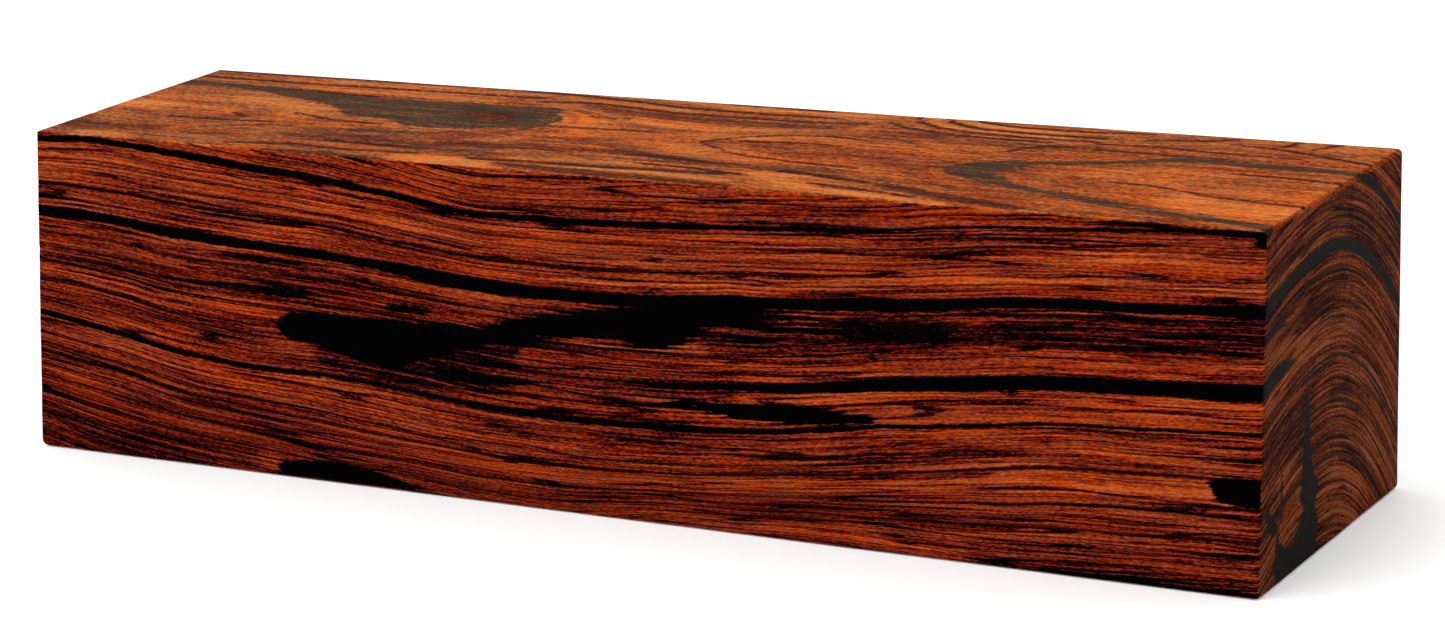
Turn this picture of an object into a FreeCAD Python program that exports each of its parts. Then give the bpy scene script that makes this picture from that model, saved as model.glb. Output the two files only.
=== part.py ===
import FreeCAD, Part
import os
import Sketcher

# A wood turning blank: one piece of dense dark hardwood, sawn roughly square for the lathe.
# It lies on its foot face. X runs along the grain, Y from front to back and Z upwards.
# The origin is in the foot face, midway along its centre line.
# None of the saw cuts is quite square: each is given by how far it runs off across the blank.

# Name, millimetres and meaning of each size that can be set by itself.
SIZES = [
    ("centre_length", 304.8, "along the centre line of the foot face"),
    ("foot_width", 76.2, "across the foot face, halfway along"),
    ("section_height", 76.2, "foot face to top face"),
    ("front_runoff", 3.8, "how far the front face has moved back at the top"),
    ("back_taper", 4.0, "how much wider the right end is than the left"),
    ("left_skew", 3.5, "how far the left end's back edge has moved right of its front edge"),
    ("left_lean", 4.0, "how far the left end's top has moved right of its foot"),
    ("right_skew", 4.0, "how far the right end's back edge has moved right of its front edge"),
    ("right_lean", 0.8, "how far the right end's top has moved right of its foot"),
    ("arris_easing", 0.6, "radius of the arrises, taken off by hand"),
]

# A sketch's constraint names the start or end of a line by these numbers.
START, END = 1, 2
# The sketch's own origin, as a line and point of it.
ORIGIN = (-1, 1)


def make_sheet(doc):
    """Puts the sizes in a sheet, one to a row, with the name as the value's alias."""
    sheet = doc.addObject("Spreadsheet::Sheet", "sizes")
    for row, (name, value, meaning) in enumerate(SIZES, start=1):
        sheet.set(f"A{row}", name)
        sheet.set(f"B{row}", str(value))
        sheet.setAlias(f"B{row}", name)
        sheet.set(f"C{row}", meaning)
    doc.recompute()


def new_sketch(body, name, role):
    """A sketch on the body's own origin plane with the given role."""
    sketch = body.newObject("Sketcher::SketchObject", name)
    plane = next(plane for plane in body.Origin.OriginFeatures if plane.Role == role)
    sketch.AttachmentSupport = [(plane, "")]
    sketch.MapMode = "FlatFace"
    return sketch


def draw_outline(sketch, corners):
    """Joins the corners, in order, into a closed outline of straight lines."""
    for start, end in zip(corners, corners[1:] + corners[:1]):
        sketch.addGeometry(Part.LineSegment(FreeCAD.Vector(*start, 0), FreeCAD.Vector(*end, 0)), False)
    count = len(corners)
    for line in range(count):
        sketch.addConstraint(Sketcher.Constraint("Coincident", line, END, (line + 1) % count, START))


def place_corner(sketch, line, name, across, up):
    """Places the corner that a line starts from, by two expressions measured from the sketch's origin."""
    for kind, suffix, expression in (("DistanceX", "across", across), ("DistanceY", "up", up)):
        index = sketch.addConstraint(Sketcher.Constraint(kind, *ORIGIN, line, START, 1.0))
        sketch.renameConstraint(index, f"{name}_{suffix}")
        sketch.setExpression(f"Constraints.{name}_{suffix}", expression)


def draw_quad(sketch, corners, guess):
    """A four-sided outline whose corners are each placed by a name and two expressions."""
    draw_outline(sketch, guess)
    for line, (name, across, up) in enumerate(corners):
        place_corner(sketch, line, name, across, up)


def saw_from_plank(body):
    """The rough length: a level slab whose back face runs out of parallel with its front face."""
    outline = new_sketch(body, "plank_outline", "XY_Plane")
    # The slab is left long by one width in all, for the two end cuts.
    rough_half = "(sizes.centre_length + sizes.foot_width) / 2"
    back_run = f"sizes.back_taper * {rough_half} / sizes.centre_length"
    draw_quad(outline, [
        ("front_left", f"-{rough_half}", "-sizes.foot_width / 2"),
        ("front_right", rough_half, "-sizes.foot_width / 2"),
        ("back_right", rough_half, f"sizes.foot_width / 2 + {back_run}"),
        ("back_left", f"-{rough_half}", f"sizes.foot_width / 2 - {back_run}"),
    ], [(-190, -38), (190, -38), (190, 40), (-190, 35)])
    slab = body.newObject("PartDesign::Pad", "rough_length")
    slab.Profile = outline
    slab.setExpression("Length", "sizes.section_height")
    body.Document.recompute()
    return slab


def lean_front(body):
    """The front face's cut: it starts from the foot's front edge and runs back on the way up."""
    # The waste is drawn from one height below the foot to one above the top, so that it clears both.
    waste = new_sketch(body, "front_waste", "YZ_Plane")
    draw_quad(waste, [
        ("low_inner", "-sizes.foot_width / 2 - sizes.front_runoff", "-sizes.section_height"),
        ("high_inner", "-sizes.foot_width / 2 + 2 * sizes.front_runoff", "2 * sizes.section_height"),
        ("high_outer", "-2 * sizes.foot_width", "2 * sizes.section_height"),
        ("low_outer", "-2 * sizes.foot_width", "-sizes.section_height"),
    ], [(-42, -76), (-31, 152), (-152, 152), (-152, -76)])
    cut = body.newObject("PartDesign::Pocket", "front_face")
    cut.Profile = waste
    cut.Type = "ThroughAll"
    cut.SideType = "Symmetric"
    body.Document.recompute()
    return cut


def cross_cut(body, end, outward):
    """One end's saw cut, on a plane turned by the end's skew and lean. outward is 1 at the right end."""
    waste = new_sketch(body, f"{end}_waste", "YZ_Plane")
    skew = f"atan(sizes.{end}_skew / sizes.foot_width)"
    lean = f"atan(sizes.{end}_lean / sizes.section_height * cos({skew}))"
    waste.setExpression("AttachmentOffset", (
        "create(<<placement>>; "
        f"create(<<vector>>; 0; 0; {outward} * sizes.centre_length / 2); "
        f"create(<<rotation>>; 0; -{skew}; {lean}))"
    ))
    # The blade is drawn wider and taller than the blank, so that it cuts right through.
    draw_quad(waste, [
        ("low_front", "-sizes.foot_width", "-sizes.section_height"),
        ("low_back", "sizes.foot_width", "-sizes.section_height"),
        ("high_back", "sizes.foot_width", "2 * sizes.section_height"),
        ("high_front", "-sizes.foot_width", "2 * sizes.section_height"),
    ], [(-76, -76), (76, -76), (76, 152), (-76, 152)])
    cut = body.newObject("PartDesign::Pocket", f"{end}_end")
    cut.Profile = waste
    cut.Type = "ThroughAll"
    cut.Reversed = outward > 0
    body.Document.recompute()
    return cut


def ease_arrises(body, sawn):
    """A small round, as sandpaper leaves it, on all twelve arrises."""
    eased = body.newObject("PartDesign::Fillet", "eased_arrises")
    eased.Base = (sawn, [f"Edge{number + 1}" for number in range(len(sawn.Shape.Edges))])
    eased.setExpression("Radius", "sizes.arris_easing")
    return eased


def build_blank(doc):
    """Saws the blank from the plank, cuts it to length and takes off its sharp arrises."""
    body = doc.addObject("PartDesign::Body", "turning_blank")
    body.Label = "turning_blank"
    saw_from_plank(body)
    lean_front(body)
    cross_cut(body, "left", -1)
    sawn = cross_cut(body, "right", 1)
    body.Tip = ease_arrises(body, sawn)
    doc.recompute()
    return body


def check(doc, body):
    """Stops if any object of the document failed or the blank isn't one whole solid."""
    for item in doc.Objects:
        if "Invalid" in item.State or "Error" in item.State:
            raise RuntimeError(f"{item.Name} failed: {item.State}")
    shape = body.Shape
    if shape.isNull() or not shape.isValid() or len(shape.Solids) != 1:
        raise RuntimeError(f"{body.Label} isn't one valid solid")


document = FreeCAD.newDocument("wood_turning_blank")
make_sheet(document)
blank = build_blank(document)
check(document, blank)

os.makedirs("parts", exist_ok=True)
blank.Shape.exportStep(f"parts/{blank.Label}.step")
extent = blank.Shape.BoundBox
print(f"{blank.Label}: x {extent.XMin:.3f} to {extent.XMax:.3f}, y {extent.YMin:.3f} to {extent.YMax:.3f}, "
      f"z {extent.ZMin:.3f} to {extent.ZMax:.3f} mm, {blank.Shape.Volume / 1000:.1f} cm3")
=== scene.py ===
import math
import bpy
import numpy as np
from mathutils import Matrix, Vector


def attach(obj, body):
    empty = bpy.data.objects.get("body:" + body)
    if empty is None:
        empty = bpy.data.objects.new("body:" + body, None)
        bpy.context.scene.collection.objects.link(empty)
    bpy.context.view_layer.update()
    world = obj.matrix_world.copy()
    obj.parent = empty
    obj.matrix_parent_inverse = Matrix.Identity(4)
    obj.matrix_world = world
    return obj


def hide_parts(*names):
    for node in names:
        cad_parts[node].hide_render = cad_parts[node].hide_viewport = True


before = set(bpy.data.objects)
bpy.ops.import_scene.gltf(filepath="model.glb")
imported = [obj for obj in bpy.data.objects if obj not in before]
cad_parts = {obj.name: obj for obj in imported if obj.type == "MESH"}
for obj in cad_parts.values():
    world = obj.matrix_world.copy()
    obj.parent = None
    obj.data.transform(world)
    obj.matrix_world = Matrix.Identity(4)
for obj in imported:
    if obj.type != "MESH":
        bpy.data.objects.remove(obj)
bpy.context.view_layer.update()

MM = 0.001
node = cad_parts["turning_blank"]


# ---------------------------------------------------------------- shape

def sawn_faces(cad):
    """The six flat faces of the CAD blank, as {(axis, side): (unit normal, distance in mm)}."""
    faces = {}
    for axis in range(3):
        for side in (-1, 1):
            widest = max((p for p in cad.data.polygons if p.normal[axis] * side > 0.9), key=lambda p: p.area)
            normal = np.array(widest.normal)
            faces[axis, side] = normal, float(normal @ np.array(widest.center)) / MM
    return faces


def sawn_corners(faces):
    """The eight corners where the flat faces would meet, in mm, indexed by side along x, y and z."""
    corners = np.zeros((2, 2, 2, 3))
    for i in range(2):
        for j in range(2):
            for k in range(2):
                three = [faces[0, 2 * i - 1], faces[1, 2 * j - 1], faces[2, 2 * k - 1]]
                corners[i, j, k] = np.linalg.solve([n for n, d in three], [d for n, d in three])
    return corners


# Grid steps in mm along x, y and z, and the closer distances from an arris.
GRID_STEPS = (2.1, 0.8, 0.95)
EDGE_LINES = (0, 0.12, 0.3, 0.5, 0.75, 1.1, 1.6, 2.3)


def grid_lines(length, step):
    """Distances along one side of the blank, closer together by its arrises."""
    edge = np.array(EDGE_LINES)
    inside = np.linspace(edge[-1], length - edge[-1], int((length - 2 * edge[-1]) / step) + 1)
    return np.concatenate([edge, inside[1:-1], (length - edge)[::-1]])


def box_grid(lines):
    """Vertices and faces of a closed box of grid lines. Each face comes with the side of the box it is on."""
    count = [len(line) for line in lines]
    keys, quads, sides = [], [], []
    for axis in range(3):
        a, b = [other for other in range(3) if other != axis]
        for side in (0, 1):
            index = np.zeros((count[a], count[b], 3), int)
            index[..., axis] = side * (count[axis] - 1)
            index[..., a], index[..., b] = np.meshgrid(np.arange(count[a]), np.arange(count[b]), indexing="ij")
            key = (index[..., 0] * count[1] + index[..., 1]) * count[2] + index[..., 2]
            ring = [key[:-1, :-1], key[1:, :-1], key[1:, 1:], key[:-1, 1:]]
            if (side == 0) != (axis == 1):
                ring.reverse()
            quads.append(np.stack([r.ravel() for r in ring], axis=1))
            sides += [2 * axis + side] * len(quads[-1])
            keys.append(key.ravel())
    kept = np.unique(np.concatenate(keys))
    faces = np.searchsorted(kept, np.concatenate(quads))
    i, rest = np.divmod(kept, count[1] * count[2])
    j, k = np.divmod(rest, count[2])
    points = np.stack([lines[0][i], lines[1][j], lines[2][k]], axis=1)
    return points, faces, np.array(sides)


def ripple(points, waves):
    """A smooth unevenness from 0 to 1 that differs over the blank: waves are (length in mm, three phases)."""
    total = 0
    for length, phases in waves:
        turn = points * (2 * math.pi / length) + np.array(phases)
        total = total + np.sin(turn[:, 0]) * np.cos(turn[:, 1] * 1.3) * np.cos(turn[:, 2] * 0.9 + turn[:, 0] * 0.4)
    return 0.5 + 0.5 * total / len(waves)


# Radius of the arrises in mm: the least, and how much more where they are worn most.
LEAST_RADIUS, WORN_RADIUS = 0.62, 0.55
ARRIS_WAVES = [(61, (0.3, 1.9, 4.0)), (23, (2.2, 0.4, 1.1)), (9, (5.0, 3.1, 2.0))]
# How far in mm the planed faces lie inside the CAD faces: the least, and how much more in the dips.
LEAST_DIP, DEEPER_DIP = 0.02, 0.10
DIP_WAVES = [(90, (1.0, 0.2, 2.0)), (37, (0.1, 2.6, 1.2))]


def ease(points, size):
    """Rounds all arrises, a little more where hands and tools have worn them."""
    worn = ripple(points, ARRIS_WAVES)
    radius = (LEAST_RADIUS + WORN_RADIUS * worn ** 2)[:, None]
    inner = np.clip(points, radius, size - radius)
    out = points - inner
    far = np.linalg.norm(out, axis=1, keepdims=True)
    return inner + out * np.minimum(1, radius / np.maximum(far, 1e-9))


# Arrises that were bevelled: side of x, y and z (None where the arris runs) and how far the bevel reaches.
BEVELS = [
    ((0, None, 0), 1.5),
    ((None, 1, 0), 1.2),
    ((1, None, 1), 1.0),
]


def bevel(points, size):
    """Planes off the bevelled arrises at 45 degrees."""
    for sides, reach in BEVELS:
        axes = [axis for axis in range(3) if sides[axis] is not None]
        inward = [points[:, axis] if sides[axis] == 0 else size[axis] - points[:, axis] for axis in axes]
        short = np.maximum(0, reach - sum(inward)) / 2
        for axis in axes:
            points[:, axis] += short * (1 if sides[axis] == 0 else -1)
    return points


# Chips along the arrises: where in mm from the left front foot corner, how wide and how deep.
CHIPS = [
    ((304.8, 0, 5.4), 1.6, 0.9),
    ((304.8, 0, 9.6), 1.0, 0.7),
    ((304.8, 0, 37.0), 1.2, 0.35),
    ((304.8, 0, 62.0), 1.5, 0.3),
    ((256.0, 0, 76.2), 1.6, 0.35),
    ((116.0, 0, 76.2), 2.0, 0.35),
    ((304.8, 31.0, 76.2), 2.0, 0.4),
    ((304.8, 76.2, 52.0), 1.6, 0.5),
    ((0, 76.2, 30.0), 1.8, 0.6),
    ((0, 22.0, 76.2), 1.6, 0.5),
    ((0, 0, 48.0), 1.3, 0.12),
    ((73.0, 76.2, 76.2), 2.2, 0.4),
    ((210.0, 76.2, 76.2), 1.6, 0.3),
]


# A chip's place counts as on a face within this many mm of it.
ON_FACE = 0.1


def chip(points, size):
    """Small dents where splinters broke away."""
    middle = size / 2
    for place, wide, deep in CHIPS:
        place = np.array(place)
        inward = np.where((place < ON_FACE) | (place > size - ON_FACE), np.sign(middle - place), 0)
        near = np.exp(-((points - place) ** 2).sum(axis=1) / (2 * (wide / 2) ** 2))
        points += near[:, None] * inward * deep / math.sqrt(2)
    return points


def plane_faces(points, size):
    """Draws the faces in a little, unevenly, as planing leaves them."""
    worn = ripple(points, DIP_WAVES)
    inward = (size / 2 - points) / (size / 2)
    return points + inward * (LEAST_DIP + DEEPER_DIP * worn[:, None])


def to_blank(points, size, corners):
    """Carries points of the square box into the blank's own six planes, in mm."""
    share = points / size
    placed = np.zeros_like(points)
    for i in range(2):
        for j in range(2):
            for k in range(2):
                weight = np.ones(len(points))
                for axis, side in enumerate((i, j, k)):
                    weight = weight * (share[:, axis] if side else 1 - share[:, axis])
                placed += weight[:, None] * corners[i, j, k]
    return placed


# ---------------------------------------------------------------- grain

# Heights in mm, on the front face, of five growth layers at each of these x. The first column names
# the layer: its height at the right end.
LAYER_X = [-152, -132, -112, -92, -72, -52, -32, -12, 8, 28, 48, 68, 88, 108, 128, 152]
LAYERS = [
    (17, [18, 15, 12, 10.5, 9, 8, 6.8, 6.5, 8, 9, 10.5, 12, 13.7, 15.5, 16.3, 17]),
    (25, [24, 21.5, 18, 16.3, 14.7, 13, 12, 11.7, 12.2, 13.5, 15.5, 18, 21, 23.5, 24.3, 25]),
    (34.7, [33, 30.3, 27, 25.5, 25.5, 24.3, 22.6, 22.1, 22.3, 23.2, 25, 28, 30.3, 32.5, 33.4, 34.7]),
    (59, [57.3, 56.5, 54.6, 53.6, 52.8, 51.2, 49.6, 49.2, 49.4, 50.9, 52, 53.6, 55.8, 57.3, 58.1, 59.3]),
    (75, [74, 74.4, 72.9, 71.2, 69.7, 67.5, 65.1, 65.3, 65.9, 66.8, 68, 69.3, 71.5, 72.7, 74, 75]),
]
# The layers arch over from front to back. At each x: how high the crown of the arch is above the front
# face, where it is in y, and how fast it falls behind the crown.
ARCH_X = [-152, -110, -80, -60, -37, -20, 4, 30, 48, 66, 80, 95, 115, 152]
CROWN = [5, 7.5, 8.4, 9.6, 10.2, 9.0, 8.3, 7.9, 7.0, 5.95, 6.0, 6.15, 6.0, 5.0]
CROWN_Y = [-3, 0, 3, 5, 9, 5, 0.5, 1.5, 0, -5, -4.5, -4.7, -4.5, -4]
FALL = [0.0058, 0.012, 0.0125, 0.0102, 0.010, 0.010, 0.0095, 0.0065, 0.0065, 0.010, 0.0125, 0.0109, 0.0085, 0.0108]
FRONT_Y = -36.0
# The deeper below the top layer, by so many mm, the higher a layer's crown and the faster its fall.
TOP_LAYER, DEPTH, DEEP_CROWN, DEEP_FALL = 75, 60, 0.4, 0.55
# Height, place and fall of the arch that all layers turn to by the back face, and how far they do. It
# starts at the first value of each pair, in y and in x, and takes the second, in mm.
BACK_CROWN, BACK_CROWN_Y, BACK_FALL, BACK_SHARE = 8, 1, 0.0098, 0.7
BACK_Y, BACK_X = (18, 20), (135, -50)
# An eye in the grain at the back of the top: middle, reach and rise.
EYE, EYE_REACH, EYE_RISE = (80, 48, 76), (30, 14, 30), 13


def smooth_curve(at, xs, ys):
    """A smooth line through the given points (cubic, with finite-difference slopes)."""
    xs, ys = np.array(xs, float), np.array(ys, float)
    slope = np.gradient(ys, xs)
    at = np.clip(at, xs[0], xs[-1])
    i = np.clip(np.searchsorted(xs, at) - 1, 0, len(xs) - 2)
    run = xs[i + 1] - xs[i]
    t = (at - xs[i]) / run
    return (ys[i] * (1 + 2 * t) * (1 - t) ** 2 + slope[i] * run * t * (1 - t) ** 2
            + ys[i + 1] * t ** 2 * (3 - 2 * t) - slope[i + 1] * run * t ** 2 * (1 - t))


def fade(value, start, width):
    """0 before the start, rising to 1 over the width; a width below 0 runs the other way."""
    return np.clip((value - start) / width, 0, 1)


def growth(points):
    """The growth layer that each point lies in, as that layer's height at the right end, in mm."""
    x, y, z = points.T
    crown, crown_y, fall = (smooth_curve(x, ARCH_X, values) for values in (CROWN, CROWN_Y, FALL))
    before = np.clip((crown_y - y) / (crown_y - FRONT_Y), 0, None)
    behind = np.clip(y - crown_y, 0, None)
    # Towards the back face, the arch grows more alike along the blank, except by the right end.
    back = fade(y, *BACK_Y) * fade(x, *BACK_X)
    back = BACK_SHARE * back * back * (3 - 2 * back)
    heights, names = [], []
    for name, line in LAYERS:
        deeper = (TOP_LAYER - name) / DEPTH
        taller, steeper = 1 + DEEP_CROWN * deeper, 1 + DEEP_FALL * deeper
        arch = crown * taller * (1 - before ** 2) - fall * steeper * behind ** 2
        alike = BACK_CROWN * taller - BACK_FALL * steeper * (y - BACK_CROWN_Y) ** 2
        arch = arch + back * (alike - arch)
        heights.append(smooth_curve(x, LAYER_X, line) + arch)
        names.append(name)
    layer = np.zeros(len(points))
    last = len(names) - 1
    for i in range(last):
        share = (z - heights[i]) / (heights[i + 1] - heights[i])
        low = -np.inf if i == 0 else 0
        high = np.inf if i == last - 1 else 1
        inside = (share >= low) & (share < high)
        layer[inside] = (names[i] + share * (names[i + 1] - names[i]))[inside]
    off = (points - np.array(EYE)) / np.array(EYE_REACH)
    return layer + EYE_RISE * np.exp(-(off ** 2).sum(axis=1))


def inside_distance(u, v, outline):
    """Distance to a closed outline, positive inside it."""
    outline = np.array(outline, float)
    nearest = np.full(len(u), np.inf)
    within = np.zeros(len(u), bool)
    for (u0, v0), (u1, v1) in zip(outline, np.roll(outline, -1, axis=0)):
        along = np.clip(((u - u0) * (u1 - u0) + (v - v0) * (v1 - v0)) / ((u1 - u0) ** 2 + (v1 - v0) ** 2), 0, 1)
        nearest = np.minimum(nearest, np.hypot(u - u0 - along * (u1 - u0), v - v0 - along * (v1 - v0)))
        if v0 != v1:
            within ^= ((v0 > v) != (v1 > v)) & (u < (u1 - u0) * (v - v0) / (v1 - v0) + u0)
    return np.where(within, nearest, -nearest)


def stroke_distance(u, v, stroke):
    """Distance inside a painted line of (u, v, full width) points, positive inside it."""
    best = np.full(len(u), -np.inf)
    for (u0, v0, w0), (u1, v1, w1) in zip(stroke, stroke[1:]):
        along = np.clip(((u - u0) * (u1 - u0) + (v - v0) * (v1 - v0)) / ((u1 - u0) ** 2 + (v1 - v0) ** 2), 0, 1)
        off = np.hypot(u - u0 - along * (u1 - u0), v - v0 - along * (v1 - v0))
        best = np.maximum(best, (w0 + along * (w1 - w0)) / 2 - off)
    return best


# Black heartwood figure, drawn in mm: x and z on the front, x and y on the top, y and z on the right end.
FRONT_INK = [
    [(-85.2, 35.6), (-84.4, 37.4), (-81.5, 38.9), (-77, 39.5), (-72, 39.7), (-50, 39.8), (-42, 39.6), (-32, 40.6),
     (-22, 43), (-12, 45.5), (-2, 47), (8, 48.5), (22, 50), (36, 50.5), (50, 50), (40, 47.5), (28, 45), (21, 41),
     (14, 38.4), (9, 38.6), (4, 40), (-2, 40), (-12, 38.4), (-22, 37), (-27, 36.5), (-32, 34.7), (-38, 33.5),
     (-42, 31.8), (-50, 30), (-52, 28.5), (-57, 28.4), (-62, 29), (-66, 30), (-72, 31.6), (-77, 31.8),
     (-81.5, 32.6), (-84.4, 33.8)],
    [(-48, 29.4), (-42, 30.1), (-30, 29.3), (-20, 28.6), (-19, 27.6), (-30, 26.7), (-40, 27.4)],
    [(13, 28), (20, 29.2), (32, 29.3), (48, 30), (60, 30), (66, 29.3), (66, 28), (55, 26.3), (40, 25.6), (25, 26),
     (14, 26.4)],
    [(139, 23.8), (141, 25.2), (152, 25.4), (152, 18.6), (144, 18.8), (141, 20), (140, 22)],
    [(-87, 3), (-80, 4.6), (-68, 5.2), (-60, 4.2), (-52, 2.4), (-44, 1.2), (-60, 0.2), (-86, 0.4)],
    [(96, -0.5), (100, 1.2), (120, 1.8), (140, 1.2), (152, 1.6), (152, -1), (98, -1)],
    [(-84, 43.6), (-78, 44.7), (-71, 43.8), (-77, 42.7)],
    [(-60, 42.6), (-52, 43.6), (-43, 42.8), (-44, 41.3), (-54, 41.4)],
    [(148, 72.2), (149, 75.5), (152, 76), (152, 72)],
    [(94, 39), (95.5, 36.8), (98, 38), (100, 40), (94, 41)],
    [(148, 9.4), (150, 10.4), (152, 10), (152, 9)],
    [(149.5, 6), (151, 7), (152, 6.6), (152, 3.5), (150.5, 4)],
    [(-24, 37), (-24, 34.4), (-21, 34.6), (-20.5, 37)],
    [(-50, 37.4), (-34, 38.6), (-20, 42), (-6, 45.4), (6, 46.6), (6, 44.4), (-8, 42.6), (-22, 38.8), (-34, 35.6),
     (-50, 34)],
]
TOP_INK = [
    [(66, -4), (72, -0.5), (78, 2), (85, 4), (82, 0), (80, -3), (82, -8), (89, -13), (84, -14), (78, -11),
     (71, -7.5)],
    [(-91, 6), (-88, 1.5), (-80, 0.5), (-74, 0), (-70, -2.5), (-67, -4.5), (-58, -3.5), (-52, -3), (-46, 0),
     (-42, 2.5), (-40, 5), (-39.5, 14), (-38.5, 19.5), (-42, 21.5), (-50, 20), (-60, 20), (-64, 17.5), (-80, 16.5),
     (-95, 16.5), (-108, 17.5), (-118, 19.5), (-122, 18), (-112, 14), (-100, 10.5)],
]
TOP_STROKES = [
    [(73, 0, 4), (80, 4, 3.6), (90, 6.5, 2.6), (100, 9.5, 2.4), (107, 13.5, 2.8), (113, 16.6, 3.6), (125, 17, 3.6),
     (154, 15.5, 3.8)],
    [(71, -6, 4), (82, -12, 4), (92, -16, 3.4), (100, -19, 3.2), (110, -22.5, 3.4), (120, -25, 3.6),
     (130, -27, 3.8), (142, -29, 4), (153, -33, 4.2)],
    [(-78, -12, 1.2), (-74, -10.5, 2.6), (-66, -11.5, 1.6), (-58, -9, 1.2), (-52, -5, 2)],
    [(-88, -34.5, 1.5), (-82, -33.5, 3.5), (-72, -33, 3), (-60, -34, 2), (-50, -34.5, 1)],
    [(-57, -22.8, 1), (-48, -22.3, 2.2), (-38, -21, 1.8), (-33, -18, 1)],
]
# Where the top's black figure leaves the brown wood bare, as the middle and the two half-widths.
TOP_EYE = (-52, 10.5, 8, 4.5)
# Where the streaks fade out on the top.
TOP_CLEAR = [
    [(56, -34), (62, 24), (156, 24), (156, -37)],
    [(-151, -35), (-44, -35), (-42, 0), (-60, 3), (-90, 8), (-120, 12), (-151, 14)],
]
# Where they fade out on the end.
END_CLEAR = [
    [(-34, 47.6), (-24, 46.6), (-17, 45.2), (-24, 43.4), (-34, 40.4), (-20, 41), (0, 47), (10, 44.5), (20, 39.5),
     (30, 31), (40, 20), (40, 31), (30, 40.5), (20, 47.5), (10, 51), (0, 52.5), (-19, 50.5)],
]
END_INK = [
    [(-13.2, 41), (-12.4, 35), (-11, 30.5), (-11.2, 26), (-10, 22), (-9.6, 19), (-7, 16.5), (-6.6, 14), (-8.6, 11.5),
     (-7, 9.5), (-6.6, 5), (-8, 0), (-27, -1), (-30.5, 3), (-31.5, 5), (-29.5, 6.5), (-29.8, 9), (-28, 13),
     (-30.5, 15), (-33.5, 18), (-35, 17), (-33, 12.5), (-29.5, 11), (-27.5, 12), (-27.5, 9), (-25, 7.4),
     (-20, 5.6), (-19.5, 8), (-16, 9.8), (-14.6, 12), (-16.5, 14.5), (-16, 18), (-15.4, 22), (-15, 26),
     (-14.6, 30), (-13.6, 35)],
]
END_STROKES = [
    [(-12.7, 43, 0.4), (-12.9, 38, 1.0), (-12.6, 32, 1.8)],
    [(-36.5, 42.4, 2.6), (-33, 43.4, 2.6), (-28, 44.6, 2.2), (-23, 45.1, 1.8), (-18, 44.8, 0.6)],
    [(-35, 54, 2.2), (-29, 55, 1.6), (-24, 54.4, 1.2)],
    [(-26.5, 24, 1), (-26, 19, 1.2), (-26.5, 14, 1)],
]


# Lighter and darker places in the wood: how much, over how many mm it fades, and the painted line.
FRONT_TINTS = [
    (-0.04, 6, [(30, 64, 12), (152, 68, 10)]),
    (-0.22, 6, [(-152, 3, 8), (-120, 3, 4), (-95, 3, 1)]),
    (-0.18, 4, [(-30, 34, 4), (0, 33, 6), (30, 33, 3)]),
    (-0.26, 4, [(-72, 30.5, 2), (-58, 27.5, 4), (-40, 31, 4), (-26, 35, 3)]),
    (-0.3, 3, [(28, 44, 6), (55, 46, 5), (80, 48, 2)]),
    (-0.34, 1.2, [(60, 48.2, 3.6), (90, 50.8, 5), (120, 52.6, 5.6), (152, 53.8, 6)]),
    (-0.2, 5, [(90, 2, 2), (125, 2, 3), (152, 3, 3)]),
    (0.12, 5, [(95, 21.5, 3), (120, 22.5, 3), (140, 23, 2)]),
    (0.12, 4, [(90, 62.5, 2), (150, 65, 2)]),
    (0.1, 5, [(-20, 60, 4), (20, 61, 4), (60, 64, 4)]),
]
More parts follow.
